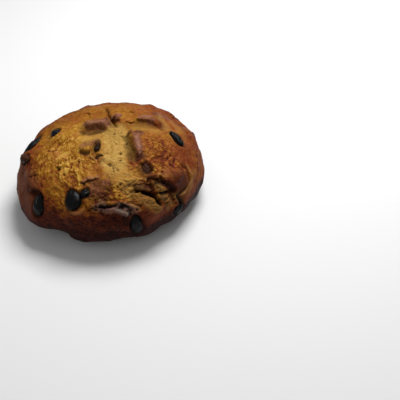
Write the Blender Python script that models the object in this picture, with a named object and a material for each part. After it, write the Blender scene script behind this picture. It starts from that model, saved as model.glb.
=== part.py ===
"""Limpa, a Swedish rye loaf: a round hearth bread with raisins baked into its crust.

The loaf is one solid. It starts as a flattened dome, spreads unevenly, swells and tucks in where the
dough did, and is cut from above: the scores open into a pale cross, with darker flaps of the first skin
standing beside it. The hearth flattens its underside. Every raisin that shows is a solid of its own,
sunk in a pocket of the crust.

Metres, +Z up, with the origin on the hearth under the middle of the loaf; +X is its right and -Y its
front. A place on the crust is given as seen from the heart of the loaf, by an azimuth counted
anticlockwise from +X and a rise above the horizontal, both in degrees. The scores were cut from above,
so their places are given in plan, counted from the heart.
"""

import itertools
from math import cos, radians, sin

import bmesh
import bpy
import numpy as np
from mathutils import Matrix, Vector

# The dome.
RADIUS = 0.095
HEIGHT = 0.079
HEART = np.array([0.0028, 0.0040, 0.030])  # the loaf is widest at this height
UNDER_DEPTH = 0.040  # from the heart to the underside, had the hearth not flattened it
TOP_ROUNDNESS = 2.2  # superellipse exponents: 2 is an ellipse, more is squarer
UNDER_ROUNDNESS = 2.3

# How the loaf spread in plan: azimuth, half width in degrees, gain in radius.
SPREADS = (
    (0, 45, -0.003),
    (40, 45, -0.004),
    (80, 45, -0.007),
    (120, 45, -0.006),
    (160, 45, -0.003),
    (200, 45, 0.006),
    (230, 45, 0.005),
    (270, 45, 0.001),
    (315, 45, -0.004),
)
# Where the dough swelled (+) or tucked in (-): azimuth, rise, half angle, gain.
SWELLS = (
    (323, 35, 18, 0.0050),  # the right front, swollen
    (321, 34, 10.5, 0.0045),  # the knob on it
    (303, 16, 15, 0.0035),  # the dough pushed out below it
    (223, -6, 19, 0.0060),  # the lobe at the left front
    (236, -33, 16, -0.0150),  # the tuck under that lobe
    (241, -19, 7, -0.0045),
    (260, -28, 7, -0.0025),
    (254, -26, 13, 0.0034),  # the foot beside the tuck
    (272, 8, 20, 0.0015),
    (203, 21, 23, -0.0022),
    (180, 44, 16, -0.0020),
    (134, 46, 14, -0.0016),
    (125, 33, 10, -0.0045),
    (110, 40, 12, -0.0015),
    (58, 44, 11, 0.0030),
    (74, 47, 8, -0.0020),
    (15, 36, 18, 0.0015),
    (139, 24, 18, -0.0050),
    (75, 10, 20, 0.0031),
)

# The scores: stops in plan, half width of the opened floor, depth.
SCORES = (
    (((0.002, 0.002), (0.006, -0.024), (0.007, -0.048)), 0.0125, 0.0036),
    (((0.000, -0.003), (-0.026, -0.006)), 0.0065, 0.0026),
    (((0.008, -0.002), (0.028, 0.013), (0.050, 0.013)), 0.0065, 0.0030),
    (((0.008, -0.044), (0.026, -0.056)), 0.0070, 0.0016),
    (((0.004, -0.044), (-0.012, -0.054)), 0.0060, 0.0014),
)
# Across a score, the crust is at its full depth until SCORE_FLOOR - SCORE_SLOPE x (offset / half width)
# drops under 1, and whole again where that reaches 0.
SCORE_FLOOR, SCORE_SLOPE = 1.35, 0.85
# Free edges, where a flap of the first skin, a fold or a crack lets the crust drop from one level to
# another. Stops on the crust; height and breadth of the raised side, which lies on the left of the way
# along; depth and breadth of the low side; depth and half width of a crack between them; and, where the
# step isn't sharp, half its width.
# Stops in plan, for the edges on top.
TOP_EDGES = (
    (
        (
            (0.0225, 0.0020),
            (0.0155, 0.0005),
            (0.0170, -0.0060),
            (0.0218, -0.0177),
            (0.0247, -0.0280),
            (0.0275, -0.0390),
            (0.0310, -0.0385),
        ),
        (0.0028, 0.012, 0.0024, 0.014, 0, 0.001, 0.0024),
    ),
    (
        ((-0.0270, 0.0026), (-0.0205, 0.0042), (-0.0145, 0.0060), (-0.0095, 0.0068), (-0.0058, 0.0100)),
        (0.0032, 0.014, 0.0020, 0.012, 0, 0.001, 0.0024),
    ),
    (
        ((0.0205, 0.0205), (0.0262, 0.0215), (0.0342, 0.0206), (0.0448, 0.0165), (0.0500, 0.0120)),
        (0.0008, 0.008, 0.0014, 0.010, 0.0008, 0.0012),
    ),
    (((0.0000, 0.0195), (0.0030, 0.0163), (0.0066, 0.0180)), (0.0016, 0.006, 0.0010, 0.004, 0, 0.001)),
    (
        ((-0.0114, 0.0465), (-0.0080, 0.0387), (-0.0030, 0.0221), (0.0024, 0.0107), (0.0042, 0.0062)),
        (0.0003, 0.004, 0.0006, 0.004, 0.0036, 0.0023),
    ),
    (
        ((-0.0335, 0.0320), (-0.0276, 0.0328), (-0.0243, 0.0270), (-0.0253, 0.0215)),
        (0.0006, 0.005, 0, 0.004, 0.0018, 0.0014),
    ),
    (
        ((-0.0310, -0.0290), (-0.0240, -0.0318), (-0.0170, -0.0335)),
        (0.0014, 0.009, 0.0010, 0.006, 0, 0.001, 0.0024),
    ),
    (
        ((0.0022, -0.0745), (0.0040, -0.0690), (0.0030, -0.0630), (0.0018, -0.0590)),
        (0.0009, 0.012, 0.0006, 0.006, 0, 0.001),
    ),
    (
        ((-0.0245, -0.0655), (-0.0175, -0.0638), (-0.0110, -0.0622), (-0.0080, -0.0628)),
        (0.0012, 0.005, 0.0008, 0.005, 0.0008, 0.0014),
    ),
    (
        ((-0.0492, -0.0440), (-0.0470, -0.0468), (-0.0440, -0.0452)),
        (0.0014, 0.005, 0.0012, 0.004, 0.0008, 0.0012),
    ),
)
# Stops by azimuth and rise, for the edges round the sides.
SIDE_EDGES = (
    (
        ((289.5, 39.6), (292, 38.9), (295, 37.8), (298, 36.2), (301.5, 33.2), (304, 28.8), (305.6, 18.5)),
        (0.0018, 0.010, 0.0024, 0.014, 0.0028, 0.0017),
    ),
    (
        ((305.5, 29), (310.6, 27.8), (315, 25.6), (316.6, 21), (317.4, 15)),
        (0.0014, 0.008, 0.0014, 0.008, 0.0022, 0.0015),
    ),
    (
        ((300.5, 43.2), (307, 43), (309.5, 41), (311, 38.6)),
        (0.0016, 0.004, 0.0016, 0.005, 0.0014, 0.0013),
    ),
    (
        ((288.5, 43.6), (296, 41.4), (300, 40.4), (303.5, 38.4), (306.5, 35.4)),
        (0.0012, 0.005, 0.0010, 0.006, 0.0008, 0.0013),
    ),
    (((301.5, 55.5), (306.5, 55.4), (310.4, 53), (312.3, 50.2)), (0.0010, 0.003, 0.0012, 0.006, 0, 0.001)),
    (((267.5, 23.5), (276, 21.6), (279.4, 19.5), (284, 17.5)), (0.0010, 0.006, 0.0014, 0.008, 0, 0.001)),
    (
        ((247, 3), (252, 5), (261.9, 6.4), (265.2, 2.6), (273, 4.6), (278.4, 1.4), (284, -6)),
        (0.0012, 0.012, 0.0028, 0.012, 0.0004, 0.0018),
    ),
    (
        ((218.6, 21), (219.6, 26), (222.7, 29.5), (226.7, 29.2), (229.8, 25), (230.5, 20)),
        (0.0010, 0.004, 0.0026, 0.010, 0, 0.001),
    ),
    (((20, -6), (40, -12), (62, -8)), (0.0012, 0.010, 0.0012, 0.010, 0.0004, 0.0018)),
    (((100, -10), (128, -14), (150, -6)), (0.0012, 0.010, 0.0012, 0.010, 0.0004, 0.0018)),
    (((66, 50), (80, 46), (96, 50)), (0.0010, 0.008, 0.0012, 0.008, 0.0006, 0.0016)),
    (((112, 24), (124, 29), (138, 27)), (0.0010, 0.008, 0.0012, 0.008, 0.0014, 0.0016)),
    (((28, 26), (36, 31), (47, 30)), (0.0012, 0.008, 0.0010, 0.008, 0.0008, 0.0015)),
)
EDGE_SPREAD = 0.0018  # half the band of skin that an edge takes in
EDGE_STEEPNESS = 0.85  # how far that band is gathered: 0 keeps it a slope, 1 makes it upright
CRACK_FOOT = 1.5  # how far a crack reaches, in its half widths
GATHERED_FOOT = 2  # how far the gathering reaches, in edge spreads
EDGE_END = 0.14  # the share of an edge's length over which it rises from nothing, at either end

# Ribs (+) and grooves (-): stops, half width, height. Stops in plan, for those on top.
TOP_RIBS = (
    (((0.0030, 0.0208), (0.0056, 0.0230)), 0.0040, 0.0014),
    (((0.0220, 0.0310), (0.0290, 0.0335), (0.0350, 0.0305), (0.0465, 0.0205)), 0.0060, 0.0012),
    (((0.0405, 0.0395), (0.0450, 0.0290), (0.0490, 0.0195), (0.0505, 0.0130)), 0.0050, -0.0014),
    (((-0.0300, -0.0240), (-0.0230, -0.0212), (-0.0105, -0.0180)), 0.0060, 0.0012),
    (((-0.0300, -0.0010), (-0.0230, -0.0035), (-0.0170, -0.0010), (-0.0110, 0.0020)), 0.0045, -0.0012),
)
# Stops by azimuth and rise, for those round the sides.
SIDE_RIBS = (
    (((292, 37.6), (295, 36.4), (298, 34.4)), 0.0020, -0.0020),
    (((297, 35), (299, 33.8), (301.5, 30.8), (303.3, 26.5), (304.4, 20)), 0.0033, -0.0060),
    (((310, 37), (313, 33.5), (315.5, 29), (317.5, 24)), 0.0050, -0.0036),
    (((336, 35), (336.5, 30), (335, 24), (333, 18.5), (328.5, 14.8), (322, 14.8)), 0.0024, -0.0024),
    (((338.5, 33), (338.5, 27), (337.2, 21.5), (334.6, 17), (330.6, 14.2), (321.5, 12.9)), 0.0014, 0.0016),
    (((308.5, 23.5), (310.5, 19), (311, 14)), 0.0060, 0.0030),
    (((319.5, 14), (320, 9), (320, 3)), 0.0040, -0.0034),
    (((298, 27), (301, 22), (302, 16)), 0.0055, 0.0020),
    (((268, 31.8), (276, 31.6), (279.7, 31.2), (282.7, 29.2), (285.5, 26.6)), 0.0022, 0.0018),
    (((270, 27), (277.1, 24.6), (279.4, 22.8), (282, 20.5)), 0.0028, 0.0016),
    (((187, 25), (190.8, 31), (196, 36.5)), 0.0035, 0.0022),
)
BEND, ASIDE = 0.009, 0.0013  # how scores, edges and ribs wander: from bend to bend, and sideways
# Lumps all over: the distance between two, how far they stand out.
LUMPS = ((0.027, 0.0022), (0.011, 0.0011))

# The raisins: azimuth, rise, length, width, thickness, turn of the length from the horizontal,
# and how far the middle lies under the crust.
RAISINS = (
    (175.5, 53.5, 0.0118, 0.0110, 0.0084, 20, 0.0010),
    (359.8, 47.2, 0.0205, 0.0092, 0.0082, 42, 0.0012),
    (248.4, 32.4, 0.0205, 0.0160, 0.0115, 120, 0.0018),
    (254.8, 39.0, 0.0100, 0.0084, 0.0070, 60, 0.0010),
    (227.2, 15.6, 0.0205, 0.0125, 0.0090, 100, 0.0022),
    (178.8, 34.5, 0.0235, 0.0094, 0.0084, 150, 0.0010),
    (194.8, 33.2, 0.0135, 0.0095, 0.0085, 40, 0.0002),
    (287.5, 4.8, 0.0215, 0.0130, 0.0094, 95, 0.0018),
    (308.4, 50.4, 0.0130, 0.0086, 0.0076, 70, 0.0020),
    (244.4, 73.8, 0.0115, 0.0050, 0.0056, 100, 0.0014),
    (22, 20, 0.0110, 0.0080, 0.0070, 110, 0.0016),
    (318, -4, 0.0130, 0.0100, 0.0080, 20, 0.0018),
    (10, -6, 0.0120, 0.0090, 0.0080, 70, 0.0016),
    (52, 12, 0.0150, 0.0100, 0.0085, 35, 0.0014),
    (84, 10, 0.0120, 0.0110, 0.0080, 130, 0.0012),
    (118, 6, 0.0170, 0.0100, 0.0085, 60, 0.0016),
    (148, 14, 0.0110, 0.0090, 0.0075, 0, 0.0014),
    (98, -12, 0.0130, 0.0095, 0.0080, 100, 0.0018),
)
RAISIN_TAPER = 0.24  # how much narrower than its middle a raisin is at its far end
RAISIN_UNEVENNESS = 0.13  # how far its humps stand out, for a raisin of radius 1
RAISIN_HUMP = 0.8  # and how wide they are
POCKET_GAP = 0.0004  # of each raisin in its pocket

CELLS = 112  # along each side of the cube that the dome's mesh comes from
FINEST_PLACE = (285, 45)  # azimuth and rise of where those cells come out smallest
FINER = 0.28  # how much smaller than the average
KEPT_SHARE = 0.063  # of the mesh's triangles, once flat stretches are thinned out
RAISIN_SIDES, RAISIN_RINGS = 10, 7
HEARTH_BLOCK = 0.26
SHARP_ANGLE = 50  # degrees: steeper edges than this are shaded sharp
TINY = 1e-4
UP = np.array([0.0, 0.0, 1.0])

CRUST = ("crust", (0.36, 0.16, 0.035), 0.55)
RAISIN_SKIN = ("raisin_skin", (0.018, 0.014, 0.016), 0.35)


def ease(value):
    """A smooth step from 0 at 0 to 1 at 1."""
    value = np.clip(value, 0, 1)
    return value * value * (3 - 2 * value)


def bell(value):
    """1 at 0, falling to 0 at -1 and 1."""
    return ease(1 - np.abs(value))


def length_of(vectors):
    return np.linalg.norm(vectors, axis=-1, keepdims=True)


def unit(vectors):
    return vectors / np.maximum(length_of(vectors), 1e-12)


def towards(azimuth, rise):
    """The direction from the heart to a place on the crust."""
    flat = cos(radians(rise))
    return np.array([cos(radians(azimuth)) * flat, sin(radians(azimuth)) * flat, sin(radians(rise))])


def hashed_gradients(cells, seed):
    """A repeatable random unit vector for each lattice cell."""
    mixed = cells[:, 0] * 73856093 ^ cells[:, 1] * 19349663 ^ cells[:, 2] * 83492791 ^ seed * 2654435
    mixed = (mixed ^ (mixed >> 13)) * 1274126177 & 0x7FFFFFFF
    height = (mixed % 8191) / 4095.0 - 1
    turn = (mixed // 8191 % 8191) / 8191.0 * 2 * np.pi
    flat = np.sqrt(np.maximum(0, 1 - height * height))
    return np.stack([flat * np.cos(turn), flat * np.sin(turn), height], axis=1)


def noise(points, wavelength, seed):
    """Gradient noise, about -1 to 1, whose humps are a wavelength apart."""
    scaled = points / wavelength
    cells = np.floor(scaled).astype(np.int64)
    inside = scaled - cells
    fade = inside**3 * (inside * (inside * 6 - 15) + 10)
    total = np.zeros(len(points))
    for corner in itertools.product((0, 1), repeat=3):
        share = np.prod(np.where(corner, fade, 1 - fade), axis=1)
        slope = hashed_gradients(cells + corner, seed)
        total += share * np.sum(slope * (inside - corner), axis=1)
    return total * 1.6


def dome(directions):
    """Points of the smooth form, before scores, folds and lumps, seen from the heart in these directions."""
    flat = np.hypot(directions[:, 0], directions[:, 1])
    over = directions[:, 2] > 0
    power = np.where(over, TOP_ROUNDNESS, UNDER_ROUNDNESS)
    reach = (flat**power + np.abs(directions[:, 2]) ** power) ** (-1 / power)
    azimuth = np.degrees(np.arctan2(directions[:, 1], directions[:, 0]))
    radius = np.full(len(directions), RADIUS)
    for middle, half_width, gain in SPREADS:
        away = (azimuth - middle + 180) % 360 - 180
        radius += gain * (0.5 + 0.5 * np.cos(np.pi * np.clip(away / half_width, -1, 1)))
    depth = np.where(over, HEIGHT - HEART[2], UNDER_DEPTH)
    points = directions * (reach[:, None] * np.stack([radius, radius, depth], axis=1))
    outward = unit(points)
    for middle, rise, half_angle, gain in SWELLS:
        away = np.degrees(np.arccos(np.clip(directions @ towards(middle, rise), -1, 1)))
        points += outward * (gain * (0.5 + 0.5 * np.cos(np.pi * np.clip(away / half_angle, 0, 1))))[:, None]
    return HEART + points


def dome_frame(directions):
    """The smooth form's points, with its horizontal and upward tangents and its outward normals."""
    sideways = unit(np.cross(UP, directions) + [TINY, 0, 0])
    upward = np.cross(directions, sideways)
    points = dome(directions)
    along = unit(dome(unit(directions + TINY * sideways)) - points)
    rising = unit(dome(unit(directions + TINY * upward)) - points)
    normals = unit(np.cross(along, rising))
    return points, along, np.cross(normals, along), normals


def offset_from_path(points, normals, stops):
    """How far each point lies to the left of a broken line along the crust, how far along the line from
    0 to 1, and the direction of its left-hand side."""
    nearest = np.full(len(points), np.inf)
    offset = np.zeros(len(points))
    along = np.zeros(len(points))
    aside = np.zeros_like(points)
    stops = np.array(stops)
    steps = np.diff(stops, axis=0)
    starts = np.concatenate([[0], np.cumsum(length_of(steps)[:, 0])])
    for start, step, begin in zip(stops, steps, starts):
        share = np.clip((points - start) @ step / (step @ step), 0, 1)
        gap = points - start - share[:, None] * step
        distance = length_of(gap)[:, 0]
        left = np.sign(np.sum(np.cross(normals, step) * gap, axis=1))
        closer = distance < nearest
        nearest = np.where(closer, distance, nearest)
        offset = np.where(closer, distance * left, offset)
        along = np.where(closer, (begin + share * length_of(step)) / starts[-1], along)
        aside = np.where(closer[:, None], unit(gap) * left[:, None], aside)
    return offset, along, aside


def on_plan(stops):
    """Stops in plan, as points at the level of the ground."""
    return np.array([HEART * (1, 1, 0) + (*stop, 0) for stop in stops])


def on_side(stops):
    """Stops by azimuth and rise, as points of the smooth form."""
    return dome(np.array([towards(*stop) for stop in stops]))


def score_depth(flat_points):
    """How deep the opened scores are at each place in plan."""
    depth = np.zeros(len(flat_points))
    for stops, half_width, full_depth in SCORES:
        offset, _, _ = offset_from_path(flat_points, UP, on_plan(stops))
        depth = np.maximum(depth, full_depth * ease(SCORE_FLOOR - np.abs(offset) / half_width * SCORE_SLOPE))
    return depth


def edge_relief(points, normals, path, levels):
    """How far an edge moves points along their normals, and how it gathers them sideways."""
    lip, lip_width, drop, drop_width, crack, crack_width, *soft = levels
    spread = soft[0] if soft else EDGE_SPREAD
    steepness = 0 if soft else EDGE_STEEPNESS
    offset, along, aside = offset_from_path(points, normals, path)
    taper = ease(np.minimum(along, 1 - along) / EDGE_END)
    step = ease(0.5 + 0.5 * offset / spread)
    raised = lip * step * ease(1 - (offset - spread) / lip_width)
    lowered = drop * (1 - step) * ease(1 + (offset + spread) / drop_width)
    cleft = crack * bell(offset / crack_width / CRACK_FOOT)
    gathered = -steepness * offset * bell(offset / EDGE_SPREAD / GATHERED_FOOT)
    return (raised - lowered - cleft) * taper, (gathered * taper)[:, None] * aside


def crust(directions):
    """Points of the finished crust, with its tangents and normals before the scores and folds."""
    points, along, rising, normals = dome_frame(directions)
    wandered = points + np.stack([noise(points, BEND, seed) for seed in (1, 2, 3)], axis=1) * ASIDE
    flat_points = wandered * (1, 1, 0)
    over = directions[:, 2:] > 0
    moved = -score_depth(flat_points)[:, None] * over * normals
    for stops, levels in TOP_EDGES:
        height, gathered = edge_relief(flat_points, UP, on_plan(stops), levels)
        moved += (height[:, None] * normals + gathered) * over
    for stops, levels in SIDE_EDGES:
        height, gathered = edge_relief(wandered, normals, on_side(stops), levels)
        moved += height[:, None] * normals + gathered
    for stops, half_width, height in TOP_RIBS:
        offset, _, _ = offset_from_path(flat_points, UP, on_plan(stops))
        moved += (height * bell(offset / half_width))[:, None] * normals * over
    for stops, half_width, height in SIDE_RIBS:
        offset, _, _ = offset_from_path(wandered, normals, on_side(stops))
        moved += (height * bell(offset / half_width))[:, None] * normals
    for seed, (wavelength, height) in enumerate(LUMPS, 7):
        moved += height * noise(points, wavelength, seed)[:, None] * normals
    return points + moved, along, rising, normals


def material_of(name, colour, roughness):
    material = bpy.data.materials.get(name) or bpy.data.materials.new(name)
    material.use_nodes = True
    shader = material.node_tree.nodes["Principled BSDF"]
    shader.inputs["Base Color"].default_value = (*colour, 1)
    shader.inputs["Roughness"].default_value = roughness
    shader.inputs["Metallic"].default_value = 0
    return material


def add_object(name, mesh, look=None):
    """An object for this mesh: a piece of the bread where it has a look, and otherwise a cutter."""
    made = bpy.data.objects.new(name, mesh)
    bpy.context.scene.collection.objects.link(made)
    if look:
        mesh.materials.append(material_of(*look))
        mesh.shade_smooth()
        mesh.set_sharp_from_angle(angle=radians(SHARP_ANGLE))
    else:
        made.hide_render = True
        made.display_type = "WIRE"
    return made


def loaf_mesh():
    """The whole loaf, from a cube of square cells blown up into the dome."""
    grid = bmesh.new()
    bmesh.ops.create_cube(grid, size=2)
    bmesh.ops.subdivide_edges(grid, edges=grid.edges[:], cuts=CELLS - 1, use_grid_fill=True)
    mesh = bpy.data.meshes.new("loaf")
    grid.to_mesh(mesh)
    grid.free()
    corners = np.zeros(len(mesh.vertices) * 3)
    mesh.vertices.foreach_get("co", corners)
    directions = unit(np.tan(corners.reshape(-1, 3) * np.pi / 4))
    directions = unit(directions + FINER * towards(*FINEST_PLACE))
    mesh.vertices.foreach_set("co", crust(directions)[0].ravel())
    mesh.update()
    return mesh


def raisin_mesh(name, size, seed, swollen=0.0):
    """A wrinkled raisin about the origin, or one swollen all round to cut its pocket."""
    ball = bmesh.new()
    bmesh.ops.create_uvsphere(ball, u_segments=RAISIN_SIDES, v_segments=RAISIN_RINGS, radius=1)
    bmesh.ops.triangulate(ball, faces=ball.faces[:])
    round_points = np.array([vertex.co for vertex in ball.verts])
    uneven = 1 + RAISIN_UNEVENNESS * noise(round_points, RAISIN_HUMP, seed)
    radii = uneven[:, None] * (np.array(size) / 2)
    radii[:, 1:] *= 1 - RAISIN_TAPER * round_points[:, :1]
    for vertex, place in zip(ball.verts, round_points * (radii + swollen)):
        vertex.co = place
    mesh = bpy.data.meshes.new(name)
    ball.to_mesh(mesh)
    ball.free()
    return mesh


def raisin_place(azimuth, rise, turn, sunk):
    """Where a raisin lies: its X along its length, its Z out of the crust."""
    points, along, rising, normals = crust(towards(azimuth, rise)[None])
    lengthwise = along[0] * cos(radians(turn)) + rising[0] * sin(radians(turn))
    crosswise = np.cross(normals[0], lengthwise)
    place = Matrix(np.stack([lengthwise, crosswise, normals[0]], axis=1)).to_4x4()
    place.translation = Vector(points[0] - sunk * normals[0])
    return place


def add_raisins():
    """The raisins, and the cutters of their pockets."""
    cutters = []
    for number, (azimuth, rise, length, width, thickness, turn, sunk) in enumerate(RAISINS, 1):
        size = (length, width, thickness)
        name = f"raisin_{number:02d}"
        place = raisin_place(azimuth, rise, turn, sunk)
        raisin = add_object(name, raisin_mesh(name, size, number), RAISIN_SKIN)
        pocket = add_object(f"pocket_{number:02d}", raisin_mesh(name, size, number, POCKET_GAP))
        raisin.matrix_world = pocket.matrix_world = place
        cutters.append(pocket)
    return cutters


def add_hearth():
    """A block whose top face, at height 0, flattens the underside."""
    block = bmesh.new()
    bmesh.ops.create_cube(block, size=HEARTH_BLOCK)
    bmesh.ops.translate(block, verts=block.verts[:], vec=(0, 0, -HEARTH_BLOCK / 2))
    mesh = bpy.data.meshes.new("hearth")
    block.to_mesh(mesh)
    block.free()
    return add_object("hearth", mesh)


def build():
    for old in list(bpy.data.objects):
        bpy.data.objects.remove(old)
    loaf = add_object("loaf", loaf_mesh(), CRUST)
    thinned = loaf.modifiers.new("thin_out", "DECIMATE")
    thinned.ratio = KEPT_SHARE
    thinned.use_collapse_triangulate = True
    cutters = bpy.data.collections.new("cutters")
    bpy.context.scene.collection.children.link(cutters)
    for cutter in [add_hearth(), *add_raisins()]:
        cutters.objects.link(cutter)
        bpy.context.scene.collection.objects.unlink(cutter)
    cut = loaf.modifiers.new("cut", "BOOLEAN")
    cut.operation = "DIFFERENCE"
    cut.operand_type = "COLLECTION"
    cut.collection = cutters
    cut.solver = "EXACT"


build()
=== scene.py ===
"""The looks of a limpa loaf: crust, opened scores, folds and raisins.

The loaf's form is worked out as in its CAD solid, from the same named sizes, on a mesh fine enough for
wrinkles, pores and crumpled folds. The same sums say where the dough opened, where first skin was left,
where it charred, and how far each place is baked, and the crust's material paints by those.

Metres, in the CAD's frame. A place on the crust is given as seen from the heart of the loaf, by an
azimuth counted anticlockwise from +X and a rise above the horizontal, in degrees. Places of the scores
are in plan, counted from the heart.
"""

import itertools
from math import cos, radians, sin

import bmesh
import bpy
import numpy as np
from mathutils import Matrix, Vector


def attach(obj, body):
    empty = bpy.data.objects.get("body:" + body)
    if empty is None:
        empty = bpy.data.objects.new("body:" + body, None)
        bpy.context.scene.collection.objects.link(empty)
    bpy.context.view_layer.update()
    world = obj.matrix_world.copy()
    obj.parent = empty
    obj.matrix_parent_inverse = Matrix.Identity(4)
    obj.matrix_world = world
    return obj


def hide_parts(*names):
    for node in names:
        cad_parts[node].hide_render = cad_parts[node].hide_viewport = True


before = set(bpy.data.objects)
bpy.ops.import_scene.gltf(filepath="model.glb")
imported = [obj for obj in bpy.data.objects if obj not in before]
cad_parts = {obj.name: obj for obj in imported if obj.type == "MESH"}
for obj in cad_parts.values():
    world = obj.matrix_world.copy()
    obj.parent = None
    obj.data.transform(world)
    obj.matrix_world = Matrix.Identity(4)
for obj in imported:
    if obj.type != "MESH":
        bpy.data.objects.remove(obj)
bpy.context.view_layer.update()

# ---------------------------------------------------------------- the loaf's form, as in the CAD

RADIUS = 0.095
HEIGHT = 0.079
HEART = np.array([0.0028, 0.004, 0.03])  # the loaf is widest at this height
UNDER_DEPTH = 0.04  # from the heart to the underside, had the hearth not flattened it
TOP_ROUNDNESS = 2.2  # superellipse exponents: 2 is an ellipse, more is squarer
UNDER_ROUNDNESS = 2.3

# How the loaf spread in plan: azimuth, half width in degrees, gain in radius.
SPREADS = (
    (0, 45, -0.003),
    (40, 45, -0.004),
    (80, 45, -0.007),
    (120, 45, -0.006),
    (160, 45, -0.003),
    (200, 45, 0.006),
    (230, 45, 0.005),
    (270, 45, 0.001),
    (315, 45, -0.004),
)
# Where the dough swelled (+) or tucked in (-): azimuth, rise, half angle, gain.
SWELLS = (
    (323, 35, 18, 0.005),  # the right front, swollen
    (321, 34, 10.5, 0.0045),  # the knob on it
    (303, 16, 15, 0.0035),  # the dough pushed out below it
    (223, -6, 19, 0.006),  # the lobe at the left front
    (236, -33, 16, -0.015),  # the tuck under that lobe
    (241, -19, 7, -0.0045),
    (260, -28, 7, -0.0025),
    (254, -26, 13, 0.0034),  # the foot beside the tuck
    (272, 8, 20, 0.0015),
    (203, 21, 23, -0.0022),
    (180, 44, 16, -0.002),
    (134, 46, 14, -0.0016),
    (125, 33, 10, -0.0045),
    (110, 40, 12, -0.0015),
    (58, 44, 11, 0.003),
    (74, 47, 8, -0.002),
    (15, 36, 18, 0.0015),
    (139, 24, 18, -0.005),
    (75, 10, 20, 0.0031),
)

# The scores: stops in plan, half width of the opened floor, depth.
SCORES = (
    (((0.002, 0.002), (0.006, -0.024), (0.007, -0.048)), 0.0125, 0.0036),
    (((0.0, -0.003), (-0.026, -0.006)), 0.0065, 0.0026),
    (((0.008, -0.002), (0.028, 0.013), (0.05, 0.013)), 0.0065, 0.003),
    (((0.008, -0.044), (0.026, -0.056)), 0.007, 0.0016),
    (((0.004, -0.044), (-0.012, -0.054)), 0.006, 0.0014),
)
# Across a score, the crust is at its full depth until SCORE_FLOOR - SCORE_SLOPE x (offset / half width)
# falls under 1.
SCORE_FLOOR, SCORE_SLOPE = 1.35, 0.85
# Free edges, where a flap of the first skin, a fold or a crack lets the crust drop from one level to
# another. Stops on the crust; height and breadth of the raised side, which lies on the left of the way
# along; depth and breadth of the low side; depth and half width of a crack between them; and, where the
# step isn't sharp, half its width.
# Stops in plan, for the edges on top.
TOP_EDGES = (
    (((0.0225, 0.002), (0.0155, 0.0005), (0.017, -0.006), (0.0196, -0.0115), (0.0218, -0.0177),
        (0.0247, -0.028), (0.0264, -0.035), (0.0275, -0.039), (0.031, -0.0385)),
        (0.0028, 0.012, 0.0024, 0.014, 0, 0.001, 0.0024)),
    (((-0.027, 0.0026), (-0.0205, 0.0042), (-0.0145, 0.006), (-0.0095, 0.0068), (-0.0058, 0.01)),
        (0.0032, 0.014, 0.002, 0.012, 0, 0.001, 0.0024)),
    (((0.0205, 0.0205), (0.0262, 0.0215), (0.0342, 0.0206), (0.0395, 0.0195), (0.0448, 0.0165),
        (0.05, 0.012)), (0.0008, 0.008, 0.0014, 0.01, 0.0008, 0.0012)),
    (((0.0, 0.0195), (0.003, 0.0163), (0.0066, 0.018)), (0.0016, 0.006, 0.001, 0.004, 0, 0.001)),
    (((-0.0114, 0.0465), (-0.008, 0.0387), (-0.0064, 0.0327), (-0.003, 0.0221), (-0.0002, 0.015),
        (0.0024, 0.0107), (0.0042, 0.0062)), (0.0003, 0.004, 0.0006, 0.004, 0.0036, 0.0023)),
    (((-0.0335, 0.032), (-0.0276, 0.0328), (-0.0243, 0.027), (-0.0253, 0.0215)),
        (0.0006, 0.005, 0, 0.004, 0.0018, 0.0014)),
    (((0.0125, 0.015), (0.0177, 0.014), (0.0225, 0.0165)), (0.0004, 0.005, 0.0002, 0.005, 0.0007, 0.0013)),
    (((0.0155, 0.036), (0.0193, 0.0306), (0.023, 0.031)), (0.0006, 0.005, 0.0002, 0.005, 0.001, 0.0013)),
    (((-0.031, -0.029), (-0.024, -0.0318), (-0.017, -0.0335)),
        (0.0014, 0.009, 0.001, 0.006, 0, 0.001, 0.0024)),
    (((-0.0136, -0.037), (-0.0096, -0.0352), (-0.005, -0.035)), (0.0006, 0.004, 0.0006, 0.005, 0, 0.0013)),
    (((0.0022, -0.0745), (0.004, -0.069), (0.003, -0.063), (0.0018, -0.059)),
        (0.0009, 0.012, 0.0006, 0.006, 0, 0.001)),
    (((-0.0245, -0.0655), (-0.0205, -0.0662), (-0.0175, -0.0638), (-0.014, -0.0645), (-0.011, -0.0622),
        (-0.008, -0.0628)), (0.0012, 0.005, 0.0008, 0.005, 0.0008, 0.0014)),
    (((-0.0492, -0.044), (-0.047, -0.0468), (-0.044, -0.0452)),
        (0.0014, 0.005, 0.0012, 0.004, 0.0008, 0.0012)),
    (((-0.0615, -0.0236), (-0.0567, -0.0247), (-0.0515, -0.0243)),
        (0.0006, 0.004, 0.0004, 0.004, 0.0012, 0.0012)),
)
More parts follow.
